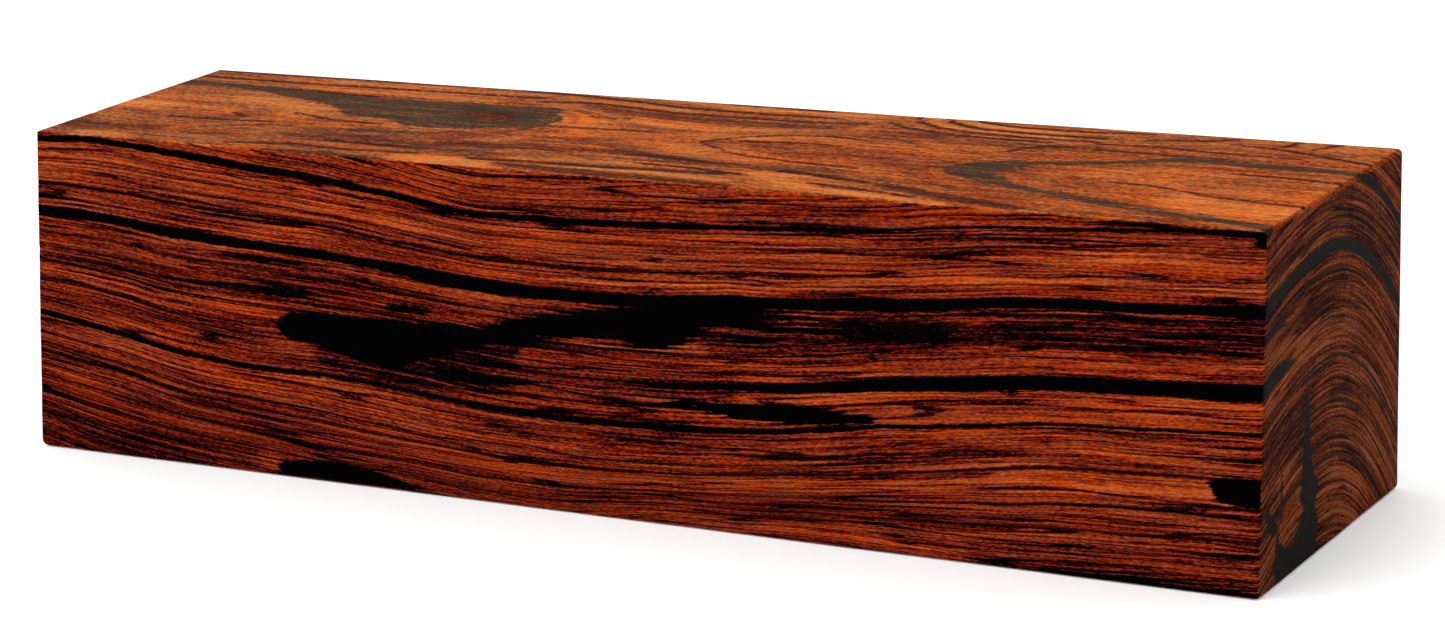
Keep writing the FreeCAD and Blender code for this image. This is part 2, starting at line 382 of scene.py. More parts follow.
TOP_TINTS = [
    (0.2, 3, [(-148, -2.5, 4), (-136, -2.5, 5)]),
    (0.2, 4, [(-136, -31, 3), (-128, -32, 3)]),
    (0.32, 3, [(-52, -32, 3), (-38, -31, 4), (-28, -33, 2)]),
    (0.17, 8, [(-36, 12, 6), (-15, 8, 14), (20, 2, 18), (55, 2, 14)]),
    (0.3, 6, [(128, -18, 6), (150, -20, 7)]),
    (0.08, 8, [(100, -2, 8), (150, 2, 12)]),
    (0.25, 3, [(32, -22, 2), (38, -26, 4), (46, -28, 3)]),
    (0.12, 4, [(-120, 10, 3), (-100, 5, 3), (-92, 1, 2)]),
    (-0.12, 8, [(-142, -14, 12), (-110, -14, 12)]),
    (-0.1, 2.5, [(-148, 3.5, 2), (-128, 3, 2.4), (-112, 0.5, 3), (-108, -3, 3)]),
    (-0.28, 3, [(-150, -24, 3), (-136, -25, 3), (-124, -23, 2)]),
    (-0.16, 5, [(12, 1, 3), (30, 2, 10), (50, 0, 12), (62, -2, 8)]),
    (0.14, 3, [(0, -8.5, 2), (14, -11, 3), (30, -14.5, 2)]),
    (-0.1, 2, [(7, 2, 1.5), (16, 4.5, 2), (26, 1.5, 3)]),
    (-0.4, 4, [(-56, 10.5, 7), (-48, 10.5, 7)]),
    (-0.15, 5, [(-88, -17, 3), (-60, -21, 4), (-35, -24, 3)]),
    (-0.12, 6, [(84, -2, 2), (95, -6, 5), (102, -10, 3)]),
    (-0.2, 4, [(40, 23, 2), (60, 19, 3), (80, 18, 2), (92, 21, 1)]),
    (-0.15, 5, [(-148, 36, 4), (-130, 37, 3), (-110, 38, 2)]),
    (0.16, 1.6, [(-108, 32, 1.5), (-80, 32, 2), (-50, 32.5, 1.5), (-30, 30.6, 1), (-10, 27.5, 1)]),
    (0.14, 1.6, [(-112, 25, 2), (-85, 24, 2), (-60, 24, 1.5)]),
    (0.16, 1.8, [(-20, 37, 1), (0, 34.5, 2), (25, 33.5, 2), (37, 36, 1)]),
    (-0.24, 2.2, [(-36, 26, 1), (-25, 22.5, 2), (-8, 20, 3), (8, 20, 3), (20, 21.6, 2.5), (32, 24, 1.5)]),
    (-0.26, 2, [(-50, -16.5, 2), (-38, -16, 2), (-28, -13.8, 2.5), (-6, -12.6, 1.5), (6, -14, 1.8), (20, -15.8, 2),
                (38, -17.4, 2)]),
    (-0.32, 2, [(-28, -30.5, 1), (-14, -31.4, 2), (8, -31.4, 2), (30, -32.4, 1)]),
    (0.22, 1.4, [(-18, -22.2, 1.2), (4, -22.4, 1.2)]),
    (0.2, 1.3, [(-15, -28.6, 0.8), (6, -27.6, 1), (28, -28.4, 1)]),
    (-0.36, 1.5, [(62, -22.6, 1), (70, -25.4, 1.8), (84, -29.4, 2.6), (96, -32.4, 2)]),
    (0.24, 1.4, [(44, -29.6, 1.4), (60, -31.6, 1.4), (80, -33.6, 1)]),
    (0.24, 1.2, [(46, 39.5, 0.8), (49, 33.6, 1), (56, 29.6, 1), (66, 28.2, 1), (84, 27.8, 0.8)]),
    (0.2, 1.2, [(53, 39.5, 0.8), (57, 35, 1), (66, 32.2, 1.4), (84, 31.8, 1.2)]),
]
# Thin, crisp, dark lines of the top, drawn as (x, y, full width).
TOP_LINES = [
    [(-149, 35, 1.4), (-110, 35.4, 1.5), (-80, 36, 1.5), (-62, 36.8, 1.2)],
    [(-134, 21.6, 1.5), (-110, 21.3, 1.5), (-90, 20, 1.5)],
    [(-147, 28.5, 1.5), (-122, 28, 1.5), (-100, 28.6, 1.5), (-72, 29.6, 1.7), (-50, 30, 1.5)],
    [(-60, 36.5, 1.3), (-38, 34.5, 1.5), (-24, 32.6, 1.5), (-12, 30.4, 1.5), (8, 30, 1.3), (28, 31, 1.1)],
    [(-50, 26.5, 1.1), (-36, 29, 1.5), (-25, 27.4, 1.7), (-12, 25, 1.7), (0, 25, 1.3), (20, 25.6, 1.5),
     (36, 28, 1.3)],
    [(-4, 36.8, 1.3), (22, 36.6, 1.5)],
    [(6.5, 1.6, 1), (13, 8, 1.4), (22, 12.6, 1.5), (32, 14.6, 1.4), (42, 13, 1.1)],
    [(7, 0.6, 1), (18, -6.6, 1.3), (34, -9.6, 1.3), (50, -10.8, 1)],
    [(14, 4, 1), (26, 6.5, 1.3), (38, 6.8, 1)],
    [(-36, 5.2, 1.1), (-24, 5.4, 1.7), (-14, 6.8, 1.5), (-6, 6.6, 1.0)],
    [(-37, 20.6, 1.3), (-31, 18.6, 1.3)],
    [(-30, 16.4, 1.1), (-20, 16.8, 1.3)],
    [(0, -13.8, 1.2), (14, -14.4, 1.2)],
    [(2, -20.6, 1.1), (16, -21, 1.3), (31, -23.6, 1.1)],
    [(-37, -28, 1.5), (-20, -26.2, 1.9), (-5, -26.2, 2.1), (10, -24.8, 2.3), (24, -24, 1.3)],
    [(36, -17.4, 2.1), (48, -19.6, 2.5), (58, -21.6, 1.9)],
    [(46, -25.5, 1.3), (60, -27.6, 1.3), (72, -30, 1.1)],
    [(38, 31, 1.3), (44, 27.5, 1.5), (55, 24.4, 1.5), (68, 22.8, 1.5), (82, 23.4, 1.3)],
    [(43, 39, 1.3), (45.5, 33, 1.7), (52, 29, 1.7), (62, 26.8, 1.7), (76, 25.8, 1.5), (92, 26.4, 1.3)],
    [(49.5, 40, 1.3), (52.5, 34.6, 1.7), (61, 30.6, 1.7), (76, 29.4, 1.7), (92, 29.8, 1.3)],
    [(56, 40, 1.5), (60, 36.4, 1.7), (70, 34.4, 1.5), (86, 34.4, 1.5), (100, 37, 1.3)],
    [(93, 19.8, 1.3), (108, 19.6, 1.3), (124, 19.4, 1.1)],
    [(92, 25, 1.3), (106, 25.8, 1.3), (120, 24.4, 1.3), (138, 24, 1.1)],
    [(119, 33, 1.1), (134, 30.2, 1.5), (153, 23.6, 1.5)],
    [(100, 31, 1.1), (112, 33.5, 1.5), (119, 37, 1.3)],
    [(128, 8, 1.1), (140, 7.8, 1.5), (153, 6.4, 1.5)],
    [(128, -11.4, 1.1), (140, -12.6, 1.5), (153, -14.2, 1.5)],
    [(106, -6, 1.1), (116, -6.6, 1.5), (128, -10, 1.1)],
    [(74.5, 6, 1.0), (75.2, 12, 1.5), (78, 17, 1.5), (82, 20, 1.9), (88, 20.4, 1.3)],
    [(133, 39, 1.7), (132.5, 35.5, 2.1), (130, 33, 1.3)],
    [(142, 39, 1.9), (140, 35.5, 1.9), (138, 33, 1.1)],
    [(-100, 0, 1.3), (-88, -4, 1.5), (-74, -4.6, 1.3)],
    [(-128, -11.4, 1.3), (-112, -11.2, 1.5), (-100, -9.6, 1.1)],
    [(-114, -4, 2.1), (-110, -7, 1.9)],
    [(-78, -21.6, 1.3), (-62, -22.6, 1.7), (-50, -22.4, 1.5)],
    [(-100, -30.5, 1.1), (-84, -27.4, 1.5), (-66, -28.6, 1.5), (-50, -27, 1.1)],
]
END_TINTS = [
    (-0.07, 12, [(-30, 64, 12), (30, 64, 12)]),
    (-0.12, 6, [(-32, 27, 4), (-15, 29, 4), (5, 27, 4), (15, 20, 3)]),
    (0.14, 5, [(-24, 20, 5), (-19, 18, 4)]),
    (0.12, 5, [(0, 8, 6), (12, 6, 5)]),
    (0.08, 10, [(4, 12, 20), (25, 10, 16)]),
    (0.1, 5, [(-30, 48, 3), (10, 45, 3)]),
    (0.12, 4, [(-12, 69, 2), (5, 68, 2)]),
]


# The drawn sides: number on the box, name, patches, strokes, tints, clearings and thin lines.
DRAWN = [
    (2, "front", FRONT_INK, [], FRONT_TINTS, [], []),
    (5, "top", TOP_INK, TOP_STROKES, TOP_TINTS, TOP_CLEAR, TOP_LINES),
    (1, "end", END_INK, END_STROKES, END_TINTS, END_CLEAR, []),
]
# The value, in mm, of a place that is far outside everything drawn.
OUTSIDE = -20.0
# The front's black patch turns hazy from this x and this height, over so many mm, and by this share.
HAZE_X, HAZE_Z, HAZE = (-58, 20), (31, 5), 0.42
# How much softer the edges of the top's black figure and of its eye are.
TOP_SOFT, EYE_SOFT = 0.7, 0.5


def flat(points, side):
    """The two coordinates that a side of the blank is drawn in."""
    x, y, z = points.T
    return {"front": (x, z), "top": (x, y), "end": (y, z)}[side]


def tint(points, side, strokes):
    """How much lighter or darker the wood is painted on one side of the blank."""
    u, v = flat(points, side)
    total = np.zeros(len(points))
    for amount, soft, stroke in strokes:
        share = np.clip(1 + stroke_distance(u, v, stroke) / soft, 0, 1)
        total += amount * share * share * (3 - 2 * share)
    return total


def figure(points, side, outlines, strokes):
    """Distance in mm to the edge of what is drawn on one side of the blank, positive inside."""
    u, v = flat(points, side)
    best = np.full(len(points), OUTSIDE)
    for outline in outlines:
        best = np.maximum(best, inside_distance(u, v, outline))
    for stroke in strokes:
        best = np.maximum(best, stroke_distance(u, v, stroke))
    return best


def black_figure(points, side, outlines, strokes):
    """The black figure's distance, nearer its edge where it is hazy, so that the grain tears it more."""
    drawn = figure(points, side, outlines, strokes)
    x, y, z = points.T
    if side == "front":
        return drawn * (1 - HAZE * fade(x, *HAZE_X) * fade(z, *HAZE_Z))
    if side == "top":
        u, v, wide, deep = TOP_EYE
        hole = (np.hypot((x - u) / wide, (y - v) / deep) - 1) * deep * EYE_SOFT
        return np.minimum(drawn * TOP_SOFT, hole)
    return drawn


def paint(points, faces, sides):
    """What is drawn, for each corner of each face, by the name of its attribute."""
    painted = {name: np.full(faces.size, OUTSIDE) for name in ("black", "clear", "lines")}
    painted["tint"] = np.zeros(faces.size)
    for side, name, outlines, strokes, tints, clears, thin in DRAWN:
        used, back = np.unique(faces[sides == side], return_inverse=True)
        here = np.repeat(sides == side, 4)
        back = back.ravel()
        painted["black"][here] = black_figure(points[used], name, outlines, strokes)[back]
        painted["clear"][here] = figure(points[used], name, clears, [])[back]
        painted["lines"][here] = figure(points[used], name, [], thin)[back]
        painted["tint"][here] = tint(points[used], name, tints)[back]
    return painted


def store(mesh, name, domain, values):
    """Keeps one number for each point or corner of the mesh."""
    layer = mesh.attributes.new(name, "FLOAT", domain)
    layer.data.foreach_set("value", np.asarray(values, np.float32))


def blank_size(corners):
    """Mean length, width and height between opposite faces, in mm."""
    return np.array([
        np.linalg.norm(corners[1, :, :] - corners[0, :, :], axis=-1).mean(),
        np.linalg.norm(corners[:, 1, :] - corners[:, 0, :], axis=-1).mean(),
        np.linalg.norm(corners[:, :, 1] - corners[:, :, 0], axis=-1).mean(),
    ])


def make_blank():
    """The blank's wood: a fine closed grid on the CAD blank's six planes, eased, bevelled and chipped."""
    corners = sawn_corners(sawn_faces(node))
    size = blank_size(corners)
    lines = [grid_lines(length, step) for length, step in zip(size, GRID_STEPS)]
    points, faces, sides = box_grid(lines)
    points = plane_faces(chip(bevel(ease(points, size), size), size), size)
    placed = to_blank(points, size, corners)

    mesh = bpy.data.meshes.new("blank_wood")
    mesh.from_pydata((placed * MM).tolist(), [], faces.tolist())
    mesh.shade_smooth()
    store(mesh, "growth", "POINT", growth(placed))
    for name, values in paint(placed, faces, sides).items():
        store(mesh, name, "CORNER", values)
    blank = bpy.data.objects.new("blank_wood", mesh)
    bpy.context.collection.objects.link(blank)
    return blank


# ---------------------------------------------------------------- material

class Graph:
    """Short calls for making and joining shader nodes."""

    def __init__(self, tree):
        self.tree = tree
        tree.nodes.clear()

    def add(self, kind, inputs=(), **settings):
        """A node with its settings made and its inputs set or joined."""
        made = self.tree.nodes.new("ShaderNode" + kind)
        for name, value in settings.items():
            setattr(made, name, value)
        for socket, value in dict(inputs).items():
            self.put(made.inputs[socket], value)
        return made

    def put(self, socket, value):
        """Joins a socket to the input, or sets the input to a number."""
        if isinstance(value, bpy.types.NodeSocket):
            self.tree.links.new(value, socket)
        elif value is not None:
            socket.default_value = value

    def math(self, operation, a, b=None, c=None):
        made = self.add("Math", operation=operation)
        for socket, value in zip(made.inputs, (a, b, c)):
            self.put(socket, value)
        return made.outputs[0]

    def vector(self, x, y, z):
        return self.add("CombineXYZ", {0: x, 1: y, 2: z}).outputs[0]

    def noise(self, vector, detail, rough):
        """Noise around 0.5, one wave to each unit of the vector."""
        made = self.add("TexNoise", {"Vector": vector, "Scale": 1.0, "Detail": detail, "Roughness": rough})
        return made.outputs["Fac"]

    def ramp(self, value, stops):
        """A straight run through (place, colour or grey) stops."""
        made = self.add("ValToRGB", {0: value})
        elements = made.color_ramp.elements
        while len(elements) < len(stops):
            elements.new(0.5)
        for element, (place, colour) in zip(elements, stops):
            element.position = place
            element.color = (*colour, 1) if isinstance(colour, tuple) else (colour, colour, colour, 1)
        return made.outputs[0]

    def attribute(self, name):
        """A number kept in the mesh."""
        return self.add("Attribute", attribute_name=name).outputs["Fac"]

    def sway(self, noise, weight, base, where=None):
        """The base, moved up or down by the noise, only where the last value is 1 if it is given."""
        off = self.math("SUBTRACT", noise, 0.5)
        if where is not None:
            off = self.math("MULTIPLY", where, off)
        return self.math("MULTIPLY_ADD", off, weight, base)

    def step(self, value, low, high):
        """0 at low, 1 at high and smooth between them."""
        made = self.add("MapRange", {0: value, 1: low, 2: high}, interpolation_type="SMOOTHSTEP")
        return made.outputs[0]

    def curve(self, value, points):
        """A smooth curve through (x, y) points, both from 0 to 1."""
        made = self.add("FloatCurve", {"Factor": 1.0, "Value": value})
        line = made.mapping.curves[0]
        for place, height in points[1:-1]:
            line.points.new(place, height)
        line.points[0].location = points[0]
        line.points[-1].location = points[-1]
        made.mapping.update()
        return made.outputs[0]

    def mix(self, share, a, b, kind="MIX"):
        """Colour a, turned to colour b, or multiplied by it, by the share."""
        made = self.add("Mix", data_type="RGBA", blend_type=kind)
        for socket, value in zip((made.inputs[0], made.inputs[6], made.inputs[7]), (share, a, b)):
            self.put(socket, value)
        return made.outputs[2]


# How light the wood is by growth layer, towards the left end and towards the right end.
LEFT_TONE = [
    (0, 0.45), (8, 0.5), (10, 0.45), (13, 0.34), (15.5, 0.4), (18.5, 0.4), (21.2, 0.45), (27.2, 0.5), (29.3, 0.58),
    (32.8, 0.5), (37.4, 0.42), (40, 0.36), (42.7, 0.3), (44, 0.42), (45.3, 0.56), (47.1, 0.4), (49.7, 0.34),
    (52.4, 0.36), (55, 0.44), (61.2, 0.55), (65.7, 0.45), (68.5, 0.62), (72, 0.58), (75, 0.45), (79, 0.5), (95, 0.5),
]
RIGHT_TONE = [
    (0, 0.3), (3, 0.36), (6, 0.62), (9, 0.5), (13.5, 0.3), (17, 0.45), (20, 0.58), (22.5, 0.68), (25.5, 0.42),
    (28, 0.48), (33, 0.5), (38, 0.56), (40.5, 0.58), (45, 0.55), (48.5, 0.49), (51, 0.43), (53.5, 0.46),
    (55, 0.62), (56.5, 0.4), (61, 0.45), (63, 0.7), (65, 0.55), (66, 0.4), (68, 0.6), (72, 0.52), (76, 0.45),
    (80, 0.55), (95, 0.5),
]
# Black streaks that follow one growth layer: the layer, how black, and half its thickness in mm along x.
STREAKS = [
    (75.0, 1.0, [(-155, 0.55), (-120, 0.7), (-60, 0.75), (0, 0.7), (56, 0.5), (80, 0.28), (110, 0.34), (140, 0.5),
                 (152, 1.1), (155, 1.1)]),
    (81.0, 0.35, [(-155, 0.0), (-60, 0.0), (-20, 0.4), (20, 0.35), (60, 0.2), (155, 0.1)]),
    (77.9, 0.4, [(-155, 0.0), (-60, 0.0), (-10, 0.25), (40, 0.3), (70, 0.15), (110, 0.05), (155, 0.05)]),
    (65.0, 0.95, [(-155, 0.45), (-90, 0.35), (-40, 0.4), (20, 0.35), (50, 0.15), (155, 0.2)]),
    (59.0, 1.0, [(-155, 1.15), (-90, 1.0), (-62, 1.0), (-44, 1.45), (0, 1.3), (40, 1.25), (90, 1.15), (135, 1.1),
                 (150, 1.5), (155, 1.55)]),
    (54.2, 0.8, [(-155, 0.2), (-90, 0.25), (-50, 0.2), (0, 0.1), (30, 0.3), (60, 0.3), (155, 0.3)]),
    (43.0, 1.0, [(-155, 0.0), (-20, 0.0), (0, 0.2), (20, 0.6), (45, 0.9), (72, 1.5), (110, 1.5), (155, 1.7)]),
    (70.6, 0.75, [(-155, 0.1), (0, 0.2), (155, 0.25)]),
    (67.8, 0.6, [(-155, 0.2), (155, 0.15)]),
    (62.9, 0.8, [(-155, 0.0), (20, 0.15), (155, 0.28)]),
    (34.7, 1.0, [(-155, 0.75), (-110, 0.6), (-50, 0.5), (0, 0.7), (60, 0.5), (110, 0.4), (155, 0.4)]),
    (25.0, 0.9, [(-155, 0.5), (-90, 0.4), (0, 0.35), (80, 0.4), (155, 0.3)]),
    (27.0, 0.8, [(-155, 0.25), (-110, 0.3), (-60, 0.15), (0, 0.1), (155, 0.1)]),
    (17.5, 0.8, [(-155, 0.3), (-110, 0.3), (0, 0.25), (155, 0.2)]),
    (12.5, 0.8, [(-155, 0.6), (-110, 0.4), (0, 0.3), (90, 0.3), (155, 0.5)]),
]
# The wood's colour from its darkest to its lightest, where it is cut along, flat across the crown, and on
# end, and what the red, green and blue of each list are multiplied by.
SIDE_WOOD = [
    (0.0, (0.0004, 0.0003, 0.0003)), (0.08, (0.0039, 0.0004, 0.0004)), (0.18, (0.028, 0.0017, 0.001)),
    (0.30, (0.077, 0.0057, 0.0021)), (0.41, (0.139, 0.0132, 0.0037)), (0.53, (0.185, 0.022, 0.0053)),
    (0.65, (0.23, 0.0335, 0.0078)), (0.83, (0.298, 0.056, 0.013)), (1.0, (0.38, 0.086, 0.022)),
]
SIDE_GAIN = (1.006, 1.056, 1.398)
# Painted light and painted sheen: the top's colours are lighter and greyer than the long sides' for how the light
# falls on it.
TOP_WOOD_LIT_AND_SHEEN = [
    (0.0, (0.02, 0.004, 0.001)), (0.28, (0.06, 0.012, 0.002)), (0.40, (0.11, 0.0245, 0.0048)),
    (0.51, (0.178, 0.0445, 0.0112)), (0.62, (0.247, 0.069, 0.018)), (0.8, (0.345, 0.113, 0.032)),
    (1.0, (0.43, 0.167, 0.056)),
]
TOP_GAIN = (1.045, 0.988, 0.93)
# Painted shade: the ends' colours are darker partly for the end grain and partly for the shade that falls on them.
END_WOOD_AND_SHADE = [
    (0.0, (0.003, 0.001, 0.0009)), (0.2, (0.012, 0.0023, 0.0013)), (0.33, (0.033, 0.0064, 0.0023)),
    (0.45, (0.062, 0.0117, 0.0037)), (0.57, (0.104, 0.0215, 0.006)), (0.69, (0.145, 0.038, 0.014)),
    (0.9, (0.2, 0.063, 0.029)),
]
END_GAIN = (0.784, 0.771, 0.784)
# What the growth layers, x and half a streak's thickness are measured against, to run from 0 to 1.
LAYER_TOP, X_LEFT, X_RIGHT, WIDEST = 100.0, -156.0, 156.0, 4.0


# Noise along the grain: how many to the mm along x, across the layers and along y, its detail and roughness.
GRAIN = {
    "wander": (0.07, 0.22, 0.1, 2.0, 0.5),      # the layers' own waver
    "rag": (0.55, 1.1, 0.5, 2.0, 0.5),          # torn edges
    "band": (0.012, 0.16, 0.02, 1.0, 0.5),      # broad bands
    "stripe": (0.012, 0.36, 0.02, 1.0, 0.6),    # stripes of the top
    "line": (0.02, 0.8, 0.03, 1.0, 0.5),        # lines a few layers wide
    "hair": (0.03, 1.9, 0.05, 2.0, 0.6),        # hair lines
    "bead": (0.85, 3.1, 0.8, 1.0, 0.6),         # beads along the hair lines
    "slow": (0.05, 0.35, 0.1, 2.0, 0.6),        # colour from place to place
    "fine": (0.7, 2.4, 0.8, 1.0, 0.6),          # colour from fibre to fibre
}
# Noise in the block itself: how many to the mm along x, y and z, its detail and roughness.
BLOCK = {
    "patchy": (0.05, 0.22, 0.2, 2.0, 0.5),      # broad, soft patches
    "fibre": (0.06, 1.9, 1.9, 2.0, 0.65),       # fibres that the top cuts
    "dash": (0.7, 2.0, 2.0, 1.0, 0.6),          # short dashes of the top
    "pore": (0.4, 2.6, 2.6, 1.0, 0.5),          # pores: needles along x, dots on the ends
}
# Thin dark threads: how many to the mm along x and across the layers, how wide and how dark.
THREADS = [(0.011, 0.40, 0.034, 1.0), (0.02, 1.1, 0.045, 0.65), (0.016, 2.3, 0.06, 0.5)]
THREAD_DEPTH = 0.02
# From the blank's middle to its right end: from where to where, in mm along x.
RIGHTWARD = (-60.0, -10.0)
# From where to where, in mm along x, the tone turns from the left end's to the right end's.
ALONG = (-50.0, 40.0)
# How strongly each kind of line and fibre shows.
HAIR, LINE, BEAD, END_LINE, TOP_STRIPE = 1.3, 0.4, 1.0, 1.3, 0.6
PATCHY, TOP_FIBRE, TOP_DASH = 0.25, 1.1, 1.0
# By face: how much of the lines, bands, light, threads, pores and clearings there is on the long sides,
# and what the top and the ends add to that.
LINES_BY, BANDS_BY, LIGHT_BY = (1.0, -0.68, -0.25), (0.35, -0.2, 0), (0.055, 0.025, 0.04)
THREADS_BY, PORES_BY, CLEAR_BY = (-0.55, 0.44, 0.25), (0.5, -0.2, 0), (-5.0, 0, 4.6)
# The wood's tone doesn't fall below this before it is tinted and lined.
DARKEST_TONE = 0.24
# The drawn lines: how much the beads break them, their edge, and how dark they are by the rag.
LINE_BEAD, LINE_EDGE, LINE_DARK = 1.3, (-0.35, 0.15), (-0.9, 0.03)
# How far the layers wander and a streak's edges are ragged, on the ends also by the pores, in mm.
WANDER, RAGGED, END_RAGGED = 0.9, 0.7, 1.6
# A streak's soft edge in mm, how far its curve is read, and how much of it a clearing takes away.
STREAK_EDGE, CURVE_END, CLEARED = (0.16, -0.1), 0.99, -0.92
# How the drawn patches are torn: by the hair lines, more at the right, by the rag and by the pores.
FRAY, PATCH_RAG, PATCH_PORE, PATCH_EDGE = 2.6, 1.6, 2.2, (-0.35, 0.3)
# The colour's swing: its slow and its fine part, its start, its limit and, by the tone, its least.
SLOW_SWING, FINE_SWING, SWING_START, SWING_LIMIT, SWING_LEAST = 10.0, 14.0, -11.7, 2.1, (1.6, -1.15)
# How much calmer it is on the top and the ends, and what it does to the red, the green and the blue.
SWING_CALM, RED_SWING, GREEN_SWING, BLUE_SWING, BLUE = -0.35, 0.15, -0.07, 0.52, 0.88
# Where the wood shows through the top's black, and how much.
MOTTLE_EDGE, SHOW_THROUGH = (0.45, 0.62), -0.3
# Gloss: how rough at least and how much more by the hair lines, and the specular level.
ROUGH_LEAST, ROUGH_MORE, SPECULAR = 0.36, 0.12, 0.002
BUMP, BUMP_DISTANCE, HAIR_HEIGHT, PORE_DEPTH = 0.2, 0.0001, 0.5, 0.6
# A face counts as top or end where this much of its normal points that way.
FACING = (0.55, 0.85)
# Noise counts as a pore below the first value, in full below the second.
PORE_EDGE = (0.36, 0.28)
PORE_COLOUR = (0.01, 0.002, 0.0008, 1)
# What the warmer wood of the top is multiplied by, and the layers over which it sets in.
WARMTH, WARM_LAYERS = (1.06, 0.92, 0.72, 1), (81.0, 77.0)
# The black figure's colour by face: near black on the long sides; on the top and the ends a painted sheen, slate
# grey put into the colour for the bright room's grazing reflection.
SIDE_SLATE = (0.0006, 0.0005, 0.0005, 1)
TOP_PAINTED_SHEEN = [(0.3, (0.018, 0.0112, 0.0050)), (0.7, (0.040, 0.0235, 0.0110))]
END_PAINTED_SHEEN = [(0.35, (0.0045, 0.0047, 0.0040)), (0.65, (0.0115, 0.0108, 0.0088))]


class Wood:
    """The values that the wood's tone, black figure and colour are all worked out from."""

    def __init__(self, g):
        self.g = g
        place = g.add("VectorMath", {0: g.add("TexCoord").outputs["Object"], 1: (1000, 1000, 1000)},
                      operation="MULTIPLY").outputs[0]
        self.x, self.y, self.z = g.add("SeparateXYZ", {0: place}).outputs
        normal = g.add("SeparateXYZ", {0: g.add("NewGeometry").outputs["True Normal"]}).outputs
        self.end = g.step(g.math("ABSOLUTE", normal[0]), *FACING)
        self.up = g.step(normal[2], *FACING)
        layer = g.attribute("growth")
        self.layer = g.sway(self.grain("wander", layer), WANDER, layer)
        self.rag = self.grain("rag", layer)
        self.hair = self.grain("hair", self.layer)
        self.bead = self.grain("bead", self.layer)
        self.fibre = self.block("fibre")
        self.pore = self.block("pore")
        self.pores = g.step(self.pore, *PORE_EDGE)

    def drawn_out(self, along, over, across, depth):
        """A place for noise that runs along the layers."""
        g = self.g
        return g.vector(g.math("MULTIPLY", self.x, along), g.math("MULTIPLY", over, across),
                        g.math("MULTIPLY", self.y, depth))

    def grain(self, kind, over):
        """One of the noises along the grain."""
        along, across, depth, detail, rough = GRAIN[kind]
        return self.g.noise(self.drawn_out(along, over, across, depth), detail, rough)

    def block(self, kind):
        """One of the noises in the block."""
        g = self.g
        *often, detail, rough = BLOCK[kind]
        scaled = [g.math("MULTIPLY", axis, many) for axis, many in zip((self.x, self.y, self.z), often)]
        return g.noise(g.vector(*scaled), detail, rough)

    def by_face(self, side, top, end):
        """One number on the long sides, changed by so much on the top and on the ends."""
        value = side
        if end:
            value = self.g.math("MULTIPLY_ADD", self.end, end, value)
        if top:
            value = self.g.math("MULTIPLY_ADD", self.up, top, value)
        return value


def wood_threads(g, wood):
    """Thin dark lines along the layers, 1 on the line, where a noise passes through its middle."""
    thread = 0.0
    for along, across, wide, dark in THREADS:
        cloud = g.noise(wood.drawn_out(along, wood.layer, across, THREAD_DEPTH), 1.0, 0.6)
        near = g.step(g.math("ABSOLUTE", g.math("SUBTRACT", cloud, 0.5)), wide, wide * 0.25)
        thread = g.math("MAXIMUM", thread, g.math("MULTIPLY", near, dark))
    return thread


def layer_tone(g, wood):
    """How light the wood is by its growth layer alone. It varies half as much on the ends."""
    depth = g.math("DIVIDE", wood.layer, LAYER_TOP)
    left, right = (g.ramp(depth, [(p / LAYER_TOP, v) for p, v in tones]) for tones in (LEFT_TONE, RIGHT_TONE))
    tone = g.mix(g.step(wood.x, *ALONG), left, right)
    return g.math("MULTIPLY_ADD", g.math("MULTIPLY", wood.end, g.math("SUBTRACT", 0.5, tone)), 0.5, tone)


def wood_lines(g, wood):
    """Lighter and darker lines along the layers, around 0."""
    line = wood.grain("line", wood.layer)
    lines = g.math("MULTIPLY", g.math("SUBTRACT", wood.hair, 0.5), HAIR)
    lines = g.sway(line, LINE, lines)
    lines = g.sway(wood.bead, BEAD, lines)
    lines = g.sway(line, END_LINE, lines, where=wood.end)
    return g.sway(wood.grain("stripe", wood.layer), TOP_STRIPE, lines, where=wood.up)


def wood_tone(g, wood):
    """How light the wood is, from about 0 to 1, with its lines, fibres, tints and drawn lines."""
    tone = g.math("MULTIPLY_ADD", wood_lines(g, wood), wood.by_face(*LINES_BY), layer_tone(g, wood))
    tone = g.sway(wood.grain("band", wood.layer), wood.by_face(*BANDS_BY), tone)
    tone = g.sway(wood.block("patchy"), PATCHY, tone)
    tone = g.sway(wood.fibre, TOP_FIBRE, tone, where=wood.up)
    tone = g.sway(wood.block("dash"), TOP_DASH, tone, where=wood.up)
    tone = g.math("ADD", wood.by_face(*LIGHT_BY), tone)
    tone = g.math("ADD", g.math("MAXIMUM", tone, DARKEST_TONE), g.attribute("tint"))
    tone = g.math("MULTIPLY_ADD", wood_threads(g, wood), wood.by_face(*THREADS_BY), tone)
    drawn = g.sway(wood.bead, LINE_BEAD, g.attribute("lines"))
    drawn = g.math("MULTIPLY", g.step(drawn, *LINE_EDGE), g.math("MULTIPLY_ADD", wood.rag, *LINE_DARK))
    return g.math("ADD", tone, drawn)


def black_streaks(g, wood):
    """Black streaks that follow single layers, faded where the clearings are drawn."""
    ragged = g.sway(wood.rag, RAGGED, wood.layer)
    edge = g.sway(wood.pore, END_RAGGED, ragged, where=wood.end)
    across = g.math("DIVIDE", g.math("SUBTRACT", wood.x, X_LEFT), X_RIGHT - X_LEFT)
    across = g.math("MINIMUM", across, CURVE_END)
    dark = 0.0
    for at, strength, widths in STREAKS:
        points = [((p - X_LEFT) / (X_RIGHT - X_LEFT), w / WIDEST) for p, w in widths]
        half = g.math("MULTIPLY", g.curve(across, points), WIDEST)
        off = g.math("SUBTRACT", g.math("ABSOLUTE", g.math("SUBTRACT", edge, at)), half)
        dark = g.math("MAXIMUM", dark, g.math("MULTIPLY", g.step(off, *STREAK_EDGE), strength))
    clear = g.step(g.attribute("clear"), wood.by_face(*CLEAR_BY), 1.0)
    return g.math("MULTIPLY", dark, g.math("MULTIPLY_ADD", clear, CLEARED, 1.0))


